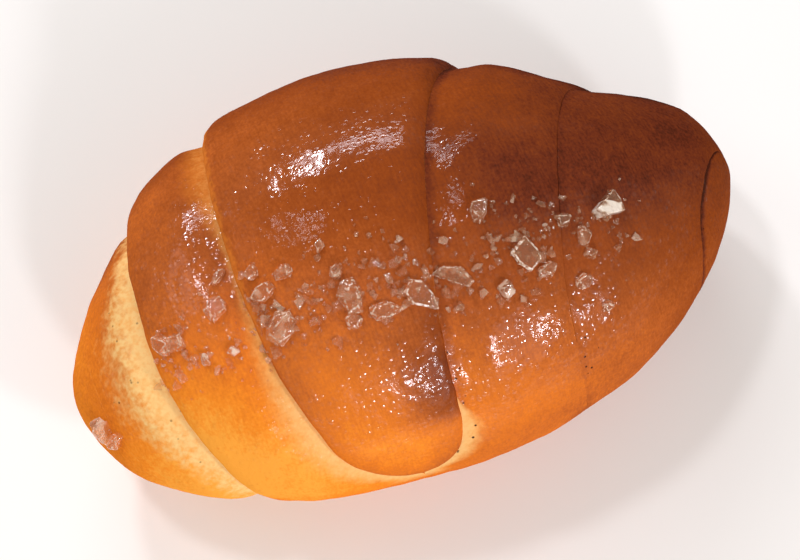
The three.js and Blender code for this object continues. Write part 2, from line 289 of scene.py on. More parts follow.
# How deep the point lies under the plain roll: the rounded lip of its own layer, the foot
# that dips under the layer above, the sunken far side of the left layers, and the hollow and
# the shoulder at the far side of the right end
DEPTH_STEPS = [
    ("span", "SUBTRACT", "inner", "edge"),
    ("span size", "ABSOLUTE", "span"),
    ("bare width", "MULTIPLY", "span size", "half length"),
    ("width", "MAXIMUM", "bare width", LEAST_WIDTH),
    # The lip
    ("lip share", "DIVIDE", "lip length", "width"),
    ("lip span", "MINIMUM", "lip share", LIP_MOST_SHARE),
    ("lip gap", "LINEAR", "share", 0, "lip span", 1, 0),
    ("lip gap square", "MULTIPLY", "lip gap", "lip gap"),
    ("lip fill", "SUBTRACT", 1, "lip gap square"),
    ("lip rounding", "SQRT", "lip fill"),
    ("round hollow", "SUBTRACT", 1, "lip rounding"),
    ("lip hollow", "LINEAR", "softness", 0, 1, "round hollow", "lip gap square"),
    ("lip drop here", "LINEAR", "softness", 0, 1, "lip drop", "soft lip drop"),
    ("lip", "MULTIPLY", "lip hollow", "lip drop here", "lip fade", "thickness"),
    # The foot
    ("foot share", "DIVIDE", "foot length", "width"),
    ("foot span", "MINIMUM", "foot share", FOOT_MOST_SHARE),
    ("share left", "SUBTRACT", 1, "share"),
    ("foot dip", "SMOOTHSTEP", "share left", 0, "foot span", 1, 0),
    ("foot depth", "LINEAR", "side", -1, 1, "left foot depth", "right foot depth"),
    ("foot", "MULTIPLY", "foot dip", "foot depth", "foot fade", "thickness above"),
    # The sunken far side, the shoulder and the hollow
    ("far way", "SUBTRACT", 1, "near way"),
    ("far half", "DIVIDE", "far way", 2),
    ("far share", "MULTIPLY", "far half", "far half"),
    ("sunk", "SMOOTHSTEP", "turns", "sink start", "sink end", 0, "left sink"),
    ("sink", "MULTIPLY", "sunk", "left share", "far share"),
    *bell_steps("shoulder", "shoulder rise"),
    *bell_steps("hollow", "hollow depth"),
    ("right end dip", "SUBTRACT", "hollow", "shoulder"),
    ("far dip", "MULTIPLY", "right end dip", "far share"),
    # All together, the way out of the roll, and what the finish reads
    ("full depth", "ADD", "lip", "foot", "sink", "far dip"),
    ("minus depth", "MULTIPLY", "full depth", "relief", -1),
    ("out x", "DIVIDE", "end way", "half length"),
    ("out far", "MULTIPLY", "inward", "near way", -1),
    ("out y", "DIVIDE", "out far", "waist half width"),
    ("out up", "MULTIPLY", "inward", "up way"),
    ("out z", "DIVIDE", "out up", "crest rise"),
    ("from edge", "MULTIPLY", "share", "width"),
    ("from fold", "MULTIPLY", "share left", "width"),
    ("around degrees", "MULTIPLY", "around", DEGREES_PER_RADIAN),
]

# Uneven proving: broad swellings and fine wrinkles, which fade out towards the base
SWELLING_STEPS = [
    ("swelling way", "SUBTRACT", "swelling noise", NOISE_MIDDLE),
    ("wrinkle way", "SUBTRACT", "wrinkle noise", NOISE_MIDDLE),
    ("swelling rise", "MULTIPLY", "swelling way", "swelling depth"),
    ("rise mm", "MULTIPLY_ADD", "wrinkle way", "wrinkle depth", "swelling rise"),
    ("free share", "LINEAR", "height", SWELLING_START, SWELLING_FULL, 0, MM / NOISE_MIDDLE),
    ("rise here", "MULTIPLY", "rise mm", "free share"),
]

# What the crust's finish and the salt read, by the name of its attribute on the mesh
STORED_VALUES = {
    "along": "plain x",
    "around": "around degrees",
    "from_edge": "from edge",
    "from_fold": "from fold",
    "turns": "turns",
    "side": "side",
    "up_way": "up way",
    "near_way": "near way",
}


def add_node(tree, kind, links=None, **settings):
    """Adds a node with its settings. links gives, for an input, its socket, sockets or value."""
    node = tree.nodes.new(kind)
    for name, value in settings.items():
        setattr(node, name, value)
    for place, terms in (links or {}).items():
        for term in terms if isinstance(terms, list) else [terms]:
            if isinstance(term, bpy.types.NodeSocket):
                tree.links.new(term, node.inputs[place])
            else:
                node.inputs[place].default_value = term
    return node


def follow_steps(tree, known, steps, prefix=""):
    """Adds the nodes of a list of steps. A term is a number or the name of a known value.

    ADD, MULTIPLY and MAXIMUM take two terms or more. With a prefix, the results get names of
    their own, and a known name with that prefix goes before the plain one.
    """
    for result, operation, *terms in steps:
        found = [known.get(f"{prefix}{term}", known.get(term, term)) for term in terms]
        links = dict(enumerate(found))
        if operation in ("LINEAR", "SMOOTHSTEP"):
            value = add_node(tree, "ShaderNodeMapRange", links, interpolation_type=operation).outputs[0]
        elif operation in ("ADD", "MULTIPLY", "MAXIMUM"):
            value = found[0]
            for other in found[1:]:
                pair = {0: value, 1: other}
                value = add_node(tree, "ShaderNodeMath", pair, operation=operation).outputs[0]
        else:
            value = add_node(tree, "ShaderNodeMath", links, operation=operation).outputs[0]
        known[prefix + result] = value


def tree_with_inputs(name, sizes):
    """A Geometry Nodes tree with a named input for each size, and these inputs by name."""
    tree = bpy.data.node_groups.new(name, "GeometryNodeTree")
    tree.interface.new_socket("Geometry", in_out="OUTPUT", socket_type="NodeSocketGeometry")
    for size, value in sizes.items():
        socket = tree.interface.new_socket(size, in_out="INPUT", socket_type="NodeSocketFloat")
        socket.default_value = value
    given = add_node(tree, "NodeGroupInput")
    return tree, {size: given.outputs[size] for size in sizes}


def finish_tree(tree, shape, material):
    """Ends a tree: what it made becomes plain mesh, in one material."""
    shape = add_node(tree, "GeometryNodeRealizeInstances", {"Geometry": shape}).outputs[0]
    finished = {"Geometry": shape, "Material": material}
    shape = add_node(tree, "GeometryNodeSetMaterial", finished).outputs[0]
    add_node(tree, "NodeGroupOutput", {0: shape})


def wound_strip_tree(sizes, material):
    """The tree that winds two flat sheets, the strip's left and right margins, into the roll."""
    tree, known = tree_with_inputs("wound strip", sizes)
    row_step = 2 * SHEET_HALF / (ROWS - 1)
    known["first row"] = SHEET_OFFSET - SHEET_HALF
    known["last row"] = SHEET_OFFSET + SHEET_HALF - row_step
    known["climbing row"] = SHEET_OFFSET + SHEET_HALF - row_step / 2
    # The band's own middle line is bent, so that one turn on it ends where it started
    sway_return = sizes["strip sway"] * math.cos(sizes["sway phase"]) / sizes["sway turns"] ** 3
    known["return per turn"] = -sizes["strip drift"] - sizes["strip turning"] - sway_return

    grid_sizes = {
        "Size X": 2 * SHEET_HALF,
        "Size Y": 2 * SHEET_HALF,
        "Vertices X": int(sizes["all turns"]) * COLUMNS_PER_TURN + 1,
        "Vertices Y": ROWS,
    }
    sheet = add_node(tree, "GeometryNodeMeshGrid", grid_sizes).outputs["Mesh"]
    margins = []
    for offset in (-SHEET_OFFSET, SHEET_OFFSET):
        moved = {"Geometry": sheet, "Translation": (0, offset, 0)}
        margins.append(add_node(tree, "GeometryNodeTransform", moved).outputs[0])
    shape = add_node(tree, "GeometryNodeJoinGeometry", {0: margins}).outputs[0]

    place = add_node(tree, "GeometryNodeInputPosition").outputs[0]
    sheet_place = add_node(tree, "ShaderNodeSeparateXYZ", {0: place})
    known["sheet x"] = sheet_place.outputs["X"]
    known["sheet y"] = sheet_place.outputs["Y"]
    follow_steps(tree, known, SHEET_STEPS)
    follow_steps(tree, known, EDGE_STEPS)
    follow_steps(tree, known, EDGE_STEPS, prefix="above ")
    follow_steps(tree, known, INNER_STEPS)
    follow_steps(tree, known, PLAIN_STEPS, prefix="fold ")
    follow_steps(tree, known, ALONG_STEPS)
    follow_steps(tree, known, PLAIN_STEPS)
    follow_steps(tree, known, DEPTH_STEPS)
    for name, value in STORED_VALUES.items():
        stored = {"Geometry": shape, "Name": name, "Value": known[value]}
        shape = add_node(tree, "GeometryNodeStoreNamedAttribute", stored).outputs[0]

    plain = {axis: known[f"plain {axis.lower()}"] for axis in "XYZ"}
    plain_point = add_node(tree, "ShaderNodeCombineXYZ", plain).outputs[0]
    out = {axis: known[f"out {axis.lower()}"] for axis in "XYZ"}
    out_bare = add_node(tree, "ShaderNodeCombineXYZ", out).outputs[0]
    outward = add_node(tree, "ShaderNodeVectorMath", {0: out_bare}, operation="NORMALIZE").outputs[0]
    deep = {0: outward, "Scale": known["minus depth"]}
    inset = add_node(tree, "ShaderNodeVectorMath", deep, operation="SCALE").outputs[0]
    folded = add_node(tree, "ShaderNodeVectorMath", {0: plain_point, 1: inset}).outputs[0]
    metres = {0: folded, "Scale": MM}
    folded = add_node(tree, "ShaderNodeVectorMath", metres, operation="SCALE").outputs[0]
    shape = add_node(tree, "GeometryNodeSetPosition", {"Geometry": shape, "Position": folded}).outputs[0]
    closed = {"Geometry": shape, "Distance": MERGE_DISTANCE}
    shape = add_node(tree, "GeometryNodeMergeByDistance", closed).outputs[0]

    crust_place = add_node(tree, "GeometryNodeInputPosition").outputs[0]
    normal = add_node(tree, "GeometryNodeInputNormal").outputs[0]
    known["height"] = add_node(tree, "ShaderNodeSeparateXYZ", {0: crust_place}).outputs["Z"]
    for form in ("swelling", "wrinkle"):
        size = known[f"{form} size"]
        frequency = add_node(tree, "ShaderNodeMath", {0: 1 / MM, 1: size}, operation="DIVIDE").outputs[0]
        noise = {"Vector": crust_place, "Scale": frequency, "Detail": 1.0}
        known[f"{form} noise"] = add_node(tree, "ShaderNodeTexNoise", noise).outputs[0]
    follow_steps(tree, known, SWELLING_STEPS)
    raised = {0: normal, "Scale": known["rise here"]}
    offset = add_node(tree, "ShaderNodeVectorMath", raised, operation="SCALE").outputs[0]
    shape = add_node(tree, "GeometryNodeSetPosition", {"Geometry": shape, "Offset": offset}).outputs[0]
    bent_place = add_node(tree, "GeometryNodeInputPosition").outputs[0]
    on_base = {0: bent_place, 1: LOWEST_PLACE}
    held = add_node(tree, "ShaderNodeVectorMath", on_base, operation="MAXIMUM").outputs[0]
    shape = add_node(tree, "GeometryNodeSetPosition", {"Geometry": shape, "Position": held}).outputs[0]
    shape = add_node(tree, "GeometryNodeSetShadeSmooth", {"Geometry": shape}).outputs[0]
    finish_tree(tree, shape, material)
    return tree


def made_by_tree(name, tree, values):
    """An object whose mesh a tree has made from the given values, kept as plain mesh."""
    piece = bpy.data.objects.new(name, bpy.data.meshes.new(name))
    bpy.context.scene.collection.objects.link(piece)
    modifier = piece.modifiers.new(name, "NODES")
    modifier.node_group = tree
    for item in tree.interface.items_tree:
        if item.item_type == "SOCKET" and item.in_out == "INPUT" and item.name in values:
            modifier[item.identifier] = values[item.name]
    depsgraph = bpy.context.evaluated_depsgraph_get()
    evaluated = piece.evaluated_get(depsgraph)
    mesh = bpy.data.meshes.new_from_object(evaluated, preserve_all_data_layers=True, depsgraph=depsgraph)
    piece.modifiers.clear()
    piece.data = mesh
    mesh.name = name
    return piece


def linear(colour):
    """An sRGB colour such as #a9581f as linear RGBA."""
    parts = [int(colour[start:start + 2], 16) / 255 for start in (1, 3, 5)]
    curved = [part / 12.92 if part <= 0.04045 else ((part + 0.055) / 1.055) ** 2.4 for part in parts]
    return (*curved, 1.0)


# Baked crust: browned flour, egg and sugar under egg wash and butter. To the eye it is glossy
# brown where the oven's heat came from above, golden lower down, and matt cream where the
# dough opened beside a fold and never saw the wash. Its gloss is broken by fine blisters.
# Its colour also carries painted shade towards the limbs and in the grooves of the right
# layers, and a painted sheen just behind the crest.
BROWNING_STOPS = [
    (0.0, "#f8a43e"),
    (0.12, "#f38c28"),
    (0.25, "#e07824"),
    (0.4, "#c96926"),
    (0.5, "#b15a25"),
    (0.6, "#9d4d1e"),
    (0.7, "#8f4319"),
    (0.8, "#7f3b1b"),
    (0.9, "#692e1a"),
    (1.0, "#472013"),
]
CRUMB_STOPS = [
    (0.0, "#f4c983"),
    (0.45, "#f2b568"),
    (0.75, "#ee9d4c"),
    (1.0, "#e0822f"),
]
PORE_COLOUR = "#3a190c"

# Patterns, in millimetres: the size of the noise, the spacing of pores and of blisters, and
# the fine streaks that the winding stretched into the skin, round the roll
PATTERN_SIZES = {"cloud": 15.0, "mottle": 2.6, "fine mottle": 1.1, "speck": 0.5, "grit": 0.33}
CELL_SPACINGS = {"pore": 3.0, "crease pore": 1.0, "blister": 0.95, "wide blister": 1.8}
STREAK_WIDTH = 0.4
STREAK_LENGTH = 2.4
ARC_PER_DEGREE = 0.6

# How much each pattern changes the browning, and how much each adds to the relief, which is
# measured in units of RELIEF_DEPTH, in millimetres
BROWNING_PATTERNS = {"cloud": 0.2, "mottle": 0.12, "streak": 0.17, "speck": 0.2}
RELIEF_PATTERNS = {"swollen": 1.4, "grit": 0.3, "fine mottle": 1.0, "mottle": 1.5}
RELIEF_DEPTH = 0.034

# Where a point of the crust lies. Here and below, places are millimetres along the roll or
# from a margin's edge or fold, degrees from the crest down the near side, or turns. The band
# is the strip's last turn, which lies on the others. The angle around is worked out again,
# because the stored one jumps under the roll.
CRUST_VALUES = ("along", "from_edge", "from_fold", "turns", "side", "up_way", "near_way")
PLACE_STEPS = [
    ("around angle", "ARCTAN2", "near_way", "up_way"),
    ("around", "MULTIPLY", "around angle", DEGREES_PER_RADIAN),
    ("around size", "ABSOLUTE", "around"),
    ("along size", "ABSOLUTE", "along"),
    ("upper half", "SMOOTHSTEP", "around size", 95, 160, 1, 0),
    ("off ends", "SMOOTHSTEP", "along size", 47, 59.5, 1, 0),
    ("upper", "MULTIPLY", "upper half", "off ends"),
    ("left share", "LINEAR", "side", -1, 1, 1, 0),
    ("right share", "SUBTRACT", 1, "left share"),
    ("under layer", "LINEAR", "turns", 0.98, 1.0, 0, 1),
    ("band", "SUBTRACT", 1, "under layer"),
    ("left under", "MULTIPLY", "left share", "under layer"),
    ("right under", "MULTIPLY", "right share", "under layer"),
    ("core layer", "SMOOTHSTEP", "turns", 1.75, 2.0, 0, 1),
    ("first layer", "SUBTRACT", 1, "core layer"),
    ("streak across", "DIVIDE", "along", STREAK_WIDTH),
    ("streak arc", "MULTIPLY", "around", ARC_PER_DEGREE),
    ("streak down", "DIVIDE", "streak arc", STREAK_LENGTH),
]

# How brown the crust is, from 0 to 1: more towards the right end and over the far side, less
# down the near side, darker again at the band's tip and rims, at the right end, and in a patch
# right of the middle among the salt. The same value also holds painted shade towards the far
# and near limbs and in the grooves of the right layers, and a painted sheen just behind the crest.
NEAR_LOSS_TILT = -0.25
CORE_RAGGEDNESS = 3
BROWNING_STEPS = [
    # More towards the right end, less down both sides
    ("along browning", "LINEAR", "along", -60, 34, 0.38, 0.88),
    ("tilted", "MULTIPLY_ADD", "along", NEAR_LOSS_TILT, "around"),
    ("near loss", "LINEAR", "tilted", -5, 65, 0, -0.48),
    ("far loss", "SMOOTHSTEP", "around", -140, -75, -0.48, 0),
    ("side loss", "MINIMUM", "near loss", "far loss"),
    ("left end share", "SMOOTHSTEP", "along", -58, -40, 0.66, 1),
    ("right end share", "SMOOTHSTEP", "along", 30, 52, 1, 0.62),
    ("free loss", "MULTIPLY", "side loss", "left end share", "right end share"),
    ("end loss", "LINEAR", "along", -60, 60, -0.2, -0.06),
    ("loss", "LINEAR", "off ends", 0, 1, "end loss", "free loss"),
    # Painted sheen: paler just behind the crest, where the far window's gloss lies. Painted shade:
    # darker further down, towards the far limb
    ("far rise", "SMOOTHSTEP", "around", -72, -46, 0.19, 0),
    ("far dip", "SMOOTHSTEP", "around", -36, -14, -0.05, 0),
    ("far change", "ADD", "far rise", "far dip"),
    ("far gain", "MULTIPLY", "far change", "upper"),
    # The left first layer: paler down the near side, darker behind the crest
    ("first loss", "SMOOTHSTEP", "turns", 1.8, 2.1, -0.06, 0),
    ("first loss share", "SMOOTHSTEP", "around", -5, 25, -0.8, 1),
    ("left loss", "MULTIPLY", "first loss", "first loss share", "left under", "upper"),
    # The band's right rim by the tip, and both its rims down the near side
    ("tip near", "SMOOTHSTEP", "from_edge", 0, 12, 0.36, 0),
    ("tip start", "SMOOTHSTEP", "around", 27, 41, 0, 1),
    ("tip end", "SMOOTHSTEP", "around", 53, 64, 1, 0),
    ("tip gain", "MULTIPLY", "tip near", "tip start", "tip end", "band", "right share"),
    ("rim near", "SMOOTHSTEP", "from_edge", 0, 7, 0.15, 0),
    ("rim start", "SMOOTHSTEP", "around", 14, 36, 0, 1),
    ("rim gain", "MULTIPLY", "rim near", "rim start", "band", "upper"),
    ("edge gain", "MAXIMUM", "tip gain", "rim gain"),
    # The far side of the right end, and painted shade low on the near side towards the limb, except
    # at the left
    ("right gain", "SMOOTHSTEP", "along", 42, 58, 0, 0.13),
    ("right gain share", "SMOOTHSTEP", "around", -18, 8, 1, 0),
    ("end gain", "MULTIPLY", "right gain", "right gain share", "upper"),
    ("near gain", "SMOOTHSTEP", "around", 58, 78, 0, 0.12),
    ("near gain share", "LINEAR", "along", -26, -10, 0, 1),
    ("low gain", "MULTIPLY", "near gain", "near gain share", "upper"),
    # A darker patch right of the middle, among the salt, and the band's near side
    ("stain start", "SMOOTHSTEP", "along", 8, 18, 0, 0.1),
    ("stain end", "SMOOTHSTEP", "along", 22, 36, 1, 0),
    ("stain far", "SMOOTHSTEP", "around", -22, -4, 0, 1),
    ("stain near", "SMOOTHSTEP", "around", 6, 22, 1, 0),
    ("stain gain", "MULTIPLY", "stain start", "stain end", "stain far", "stain near"),
    ("middle start", "SMOOTHSTEP", "around", 14, 30, 0, 0.09),
    ("middle end", "SMOOTHSTEP", "around", 46, 60, 1, 0),
    ("middle along", "LINEAR", "along", -19, -8, 0, 1),
    ("middle gain", "MULTIPLY", "middle start", "middle end", "middle along", "band"),
    # Painted shade in the grooves beside the right folds and in the ragged one round the right
    # core; past that groove the core's own face is a little paler
    ("groove near", "SMOOTHSTEP", "from_fold", 0.2, 2.2, 0.14, 0),
    ("groove share", "SMOOTHSTEP", "turns", 1.8, 2.1, 1, 0.3),
    ("groove gain", "MULTIPLY", "groove near", "groove share", "right under"),
    ("core fold place", "MULTIPLY_ADD", "mottle way", CORE_RAGGEDNESS, "from_fold"),
    ("core groove near", "SMOOTHSTEP", "core fold place", 0.2, 2.6, 0.19, -0.05),
    ("core start", "SMOOTHSTEP", "turns", 2.75, 2.95, 0, 1),
    ("core near", "SMOOTHSTEP", "around", -50, -15, 0, 1),
    ("right core", "MULTIPLY", "core start", "core near", "right share", "upper half"),
    ("core gain", "MULTIPLY", "core groove near", "right core"),
    # All together, with the patterns
    ("changed", "ADD", "loss", "far gain", "left loss", "edge gain", "end gain", "low gain"),
    ("marked", "ADD", "changed", "stain gain", "middle gain", "groove gain", "core gain"),
    ("patterned", "ADD", *[f"{pattern} change" for pattern in BROWNING_PATTERNS]),
    ("browning", "ADD", "along browning", "marked", "patterned"),
]

# Where the dough opened beside the folds and shows its crumb: strips on the left, narrow on
# the first layer and wide and ragged towards the core, a low one on the right, and a thin lip
# at the band's left edge. crumb says how golden it is there, from 0 to 1.
LEAST_STRIP = 0.01
FIRST_STRENGTH = 0.6
EDGE_RAGGEDNESS = 2.5
GOLDEN_INTO_STRIP = 0.45
OPENING_STEPS = [
    # How wide the strips are
    ("near strip", "SMOOTHSTEP", "around", -12, 60, 2.0, 7.0),
    ("far strip", "SMOOTHSTEP", "around", -45, -8, 5.0, 0),
    ("narrow strip", "ADD", "near strip", "far strip"),
    ("wide far", "SMOOTHSTEP", "around", -60, -10, 8.0, 16.0),
    ("wide near", "SMOOTHSTEP", "around", 25, 75, 0, -8.0),
    ("wide strip", "ADD", "wide far", "wide near"),
    ("left strip", "LINEAR", "core layer", 0, 1, "narrow strip", "wide strip"),
    ("right open", "SMOOTHSTEP", "around", 50, 68, 0, 4.5),
    ("first part", "SMOOTHSTEP", "turns", 1.3, 1.6, 1, 0),
    ("low strip", "MULTIPLY", "right open", "first part", "upper"),
    ("right strip", "ADD", "low strip", LEAST_STRIP),
    ("strip width", "LINEAR", "left share", 0, 1, "right strip", "left strip"),
    # How far into its strip a point lies, with a ragged border, and how open it is there
    ("into strip", "DIVIDE", "from_fold", "strip width"),
    ("wide ragged size", "LINEAR", "core layer", 0, 1, 0.2, 0.7),
    ("wide ragged", "MULTIPLY", "mottle way", "wide ragged size"),
    ("fine ragged size", "LINEAR", "core layer", 0, 1, 0.35, 0.7),
    ("fine ragged", "MULTIPLY", "fine mottle way", "fine ragged size"),
    ("ragged place", "ADD", "into strip", "wide ragged", "fine ragged"),
    ("opened", "SMOOTHSTEP", "ragged place", 0.3, 1.1, 1, 0),
    ("near strength", "SMOOTHSTEP", "around", -10, 40, 0, 0.2),
    ("first strength", "MULTIPLY_ADD", "near strength", "upper", FIRST_STRENGTH),
    ("strip strength", "LINEAR", "core layer", 0, 1, "first strength", 1),
    ("last pale turn", "LINEAR", "left share", 0, 1, 1.97, 2.75),
    ("pale turns", "LESS_THAN", "turns", "last pale turn"),
    ("pale beside", "MULTIPLY", "opened", "strip strength", "pale turns", "under layer"),
    # The lip at the band's left edge
    ("edge place", "MULTIPLY_ADD", "fine mottle way", EDGE_RAGGEDNESS, "from_edge"),
    ("lip opened", "SMOOTHSTEP", "edge place", 0.3, 1.6, 0.55, 0),
    ("lip far", "SMOOTHSTEP", "around", 5, 25, 1, 0),
    ("pale lip", "MULTIPLY", "lip opened", "lip far", "band", "left share", "upper"),
    ("pale", "MAXIMUM", "pale beside", "pale lip"),
    # How golden the crumb is
    ("golden", "LINEAR", "core layer", 0, 1, 0.35, 0),
    ("low golden", "SMOOTHSTEP", "around", 10, 48, 0, -0.32),
    ("far golden", "SMOOTHSTEP", "around", -40, -10, 0.35, 0),
    ("more golden", "ADD", "low golden", "far golden"),
    ("upper golden", "MULTIPLY", "more golden", "first layer", "upper"),
    ("strip golden", "MULTIPLY", "into strip", GOLDEN_INTO_STRIP),
    ("crumb mottle size", "LINEAR", "core layer", 0, 1, 0.5, 1.3),
    ("crumb mottle", "MULTIPLY", "fine mottle way", "crumb mottle size"),
    ("crumb speck size", "LINEAR", "core layer", 0, 1, 0.5, 0.9),
    ("crumb speck", "MULTIPLY", "speck way", "crumb speck size"),
    ("crumb", "ADD", "golden", "upper golden", "strip golden", "crumb mottle", "crumb speck"),
]

# Pores: dark pinholes where the dough tore, in the low folds on the right and, fainter, in the
# opened crumb of the left core. Only some of the cells hold one.
PORE_STEPS = [
    ("near fold", "SMOOTHSTEP", "from_fold", 0.5, 4, 1, 0),
    ("low fold", "SMOOTHSTEP", "around", 30, 50, 0, 1),
    ("right pored", "MULTIPLY", "near fold", "low fold", "right under", "upper"),
    ("left core pale", "MULTIPLY", "pale beside", "core layer", "left share"),
    ("left pored", "LINEAR", "left core pale", 0, 1, 0, 0.35),
    ("pored", "MAXIMUM", "right pored", "left pored"),
    ("pore share", "LINEAR", "pored", 0, 1, 0, 0.5),
    ("has pore", "LESS_THAN", "pore draw", "pore share"),
    ("pore dot", "SMOOTHSTEP", "pore distance", 0.05, 0.11, 1, 0),
    ("wide pore", "MULTIPLY", "pore dot", "has pore"),
    ("crease pore share", "LINEAR", "pored", 0, 1, 0, 0.3),
    ("has crease pore", "LESS_THAN", "crease pore draw", "crease pore share"),
    ("crease pore dot", "SMOOTHSTEP", "crease pore distance", 0.12, 0.28, 1, 0),
    ("crease pore", "MULTIPLY", "crease pore dot", "has crease pore"),
    ("full pore", "MAXIMUM", "wide pore", "crease pore"),
    ("pore strength", "LINEAR", "left core pale", 0, 1, 1, 0.5),
    ("pore", "MULTIPLY", "full pore", "pore strength"),
]

# The wash: blisters as low domes, a glossy coat that is thickest on them and missing where the
# crumb shows, duller on the crest and low on the left layers, and the relief of it all
WASH_STEPS = [
    ("roughness", "LINEAR", "pale", 0, 1, 0.36, 0.65),
    # Blisters: small domes of uneven height, some of them missing, and wide swollen ones
    ("blister square", "MULTIPLY", "blister distance", "blister distance"),
    ("full dome", "LINEAR", "blister square", 0, 0.24, 1, 0),
    ("dome height", "LINEAR", "blister draw", 0, 1, -0.3, 1.3),
    ("drawn height", "MAXIMUM", "dome height", 0),
    ("dome", "MULTIPLY", "full dome", "drawn height"),
    ("wide square", "MULTIPLY", "wide blister distance", "wide blister distance"),
    ("wide dome", "LINEAR", "wide square", 0, 0.3, 1, 0),
    ("swollen", "MULTIPLY", "wide dome", "wide blister draw"),
    # The coat, duller in three places and weaker where it is seen at a slant
    ("wash", "LINEAR", "dome", 0, 0.5, 0.35, 1.0),
    ("crusted", "SUBTRACT", 1, "pale"),
    ("limb", "SMOOTHSTEP", "facing", 0.16, 0.46, 1, 0.04),
    ("near matt", "SMOOTHSTEP", "around", 12, 34, 0, 0.85),
    ("low matt", "MULTIPLY", "near matt", "left under", "upper"),
    ("crest matt start", "SMOOTHSTEP", "around", -23, -16, 0, 0.85),
    ("crest matt end", "SMOOTHSTEP", "around", 0, 10, 1, 0),
    ("off left layers", "SUBTRACT", 1, "left under"),
    ("crest matt", "MULTIPLY", "crest matt start", "crest matt end", "off left layers"),
    ("far matt start", "SMOOTHSTEP", "around", -25, -10, 0.55, 0),
    ("far matt", "MULTIPLY", "far matt start", "right under"),
    ("matt", "MAXIMUM", "low matt", "crest matt", "far matt"),
    ("glossy", "SUBTRACT", 1, "matt"),
    ("coat", "MULTIPLY", "wash", "crusted", "glossy", "limb"),
    # The relief, bolder on the near side and on the left layers
    *[(f"{pattern} rise", "MULTIPLY", pattern, share) for pattern, share in RELIEF_PATTERNS.items()],
    ("rough rise", "ADD", "dome", *[f"{pattern} rise" for pattern in RELIEF_PATTERNS]),
    ("near bold", "SMOOTHSTEP", "around", 8, 32, 1, 1.6),
    ("left bold", "LINEAR", "left under", 0, 1, 1, 1.7),
    ("bold", "MAXIMUM", "near bold", "left bold"),
    ("bold rise", "MULTIPLY", "rough rise", "bold"),
    ("crust rise", "SUBTRACT", "bold rise", "pore"),
]

# The numbered sockets of a Mix node for colours
MIX_SHARE = 0
MIX_FIRST = 6
MIX_SECOND = 7
MIX_RESULT = 2


def bare_material(name):
    """A new material with an empty node tree."""
    material = bpy.data.materials.new(name)
    material.use_nodes = True
    material.node_tree.nodes.clear()
    return material


def baked_crust():
    """The crust's material, from the values that the wound strip's mesh carries."""
    material = bare_material("baked crust under egg wash")
    tree = material.node_tree
    known = {}
    for name in CRUST_VALUES:
        known[name] = add_node(tree, "ShaderNodeAttribute", attribute_name=name).outputs["Fac"]
    known["facing"] = add_node(tree, "ShaderNodeLayerWeight").outputs["Facing"]
    follow_steps(tree, known, PLACE_STEPS)

    place = add_node(tree, "ShaderNodeTexCoord").outputs["Object"]
    for name, size in PATTERN_SIZES.items():
        noise = {"Vector": place, "Scale": 1 / (size * MM), "Detail": 2.0}
        known[name] = add_node(tree, "ShaderNodeTexNoise", noise).outputs[0]
    for name, spacing in CELL_SPACINGS.items():
        cells = add_node(tree, "ShaderNodeTexVoronoi", {"Vector": place, "Scale": 1 / (spacing * MM)})
        known[f"{name} distance"] = cells.outputs["Distance"]
        drawn = add_node(tree, "ShaderNodeSeparateColor", {0: cells.outputs["Color"]})
        known[f"{name} draw"] = drawn.outputs[0]
    drawn_out = {"X": known["streak across"], "Y": known["streak down"]}
    streak_place = add_node(tree, "ShaderNodeCombineXYZ", drawn_out).outputs[0]
    streaks = {"Vector": streak_place, "Scale": 1.0, "Detail": 2.0}
    known["streak"] = add_node(tree, "ShaderNodeTexNoise", streaks).outputs[0]
    for name in ("fine mottle", *BROWNING_PATTERNS):
        follow_steps(tree, known, [(f"{name} way", "SUBTRACT", name, NOISE_MIDDLE)])
    for name, share in BROWNING_PATTERNS.items():
        follow_steps(tree, known, [(f"{name} change", "MULTIPLY", f"{name} way", share)])
    for steps in (BROWNING_STEPS, OPENING_STEPS, PORE_STEPS, WASH_STEPS):
        follow_steps(tree, known, steps)

    tones = []
    for value, stops in (("browning", BROWNING_STOPS), ("crumb", CRUMB_STOPS)):
        ramp = add_node(tree, "ShaderNodeValToRGB", {0: known[value]})
        elements = ramp.color_ramp.elements
        elements.remove(elements[1])
        for stop, colour in stops:
            element = elements[0] if stop == 0 else elements.new(stop)
            element.color = linear(colour)
        tones.append(ramp.outputs[0])
    opened = {MIX_SHARE: known["pale"], MIX_FIRST: tones[0], MIX_SECOND: tones[1]}
    colour = add_node(tree, "ShaderNodeMix", opened, data_type="RGBA").outputs[MIX_RESULT]
    pored = {MIX_SHARE: known["pore"], MIX_FIRST: colour, MIX_SECOND: linear(PORE_COLOUR)}
    colour = add_node(tree, "ShaderNodeMix", pored, data_type="RGBA").outputs[MIX_RESULT]
    relief = {"Height": known["crust rise"], "Strength": 1.0, "Distance": RELIEF_DEPTH * MM}
    bump = add_node(tree, "ShaderNodeBump", relief).outputs[0]
    surface = {
        "Base Color": colour,
        "Roughness": known["roughness"],
        "IOR": 1.45,
        "Specular IOR Level": 0.0,
        "Normal": bump,
        "Coat Weight": known["coat"],
        "Coat Roughness": 0.1,
        "Coat IOR": 1.6,
        "Coat Normal": bump,
    }
    shader = add_node(tree, "ShaderNodeBsdfPrincipled", surface).outputs[0]
    add_node(tree, "ShaderNodeOutputMaterial", {"Surface": shader})
    return material


crust_material = baked_crust()
crust = made_by_tree("crust", wound_strip_tree(STRIP_SIZES, crust_material), STRIP_SIZES)
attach(crust, "root")
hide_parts("roll")
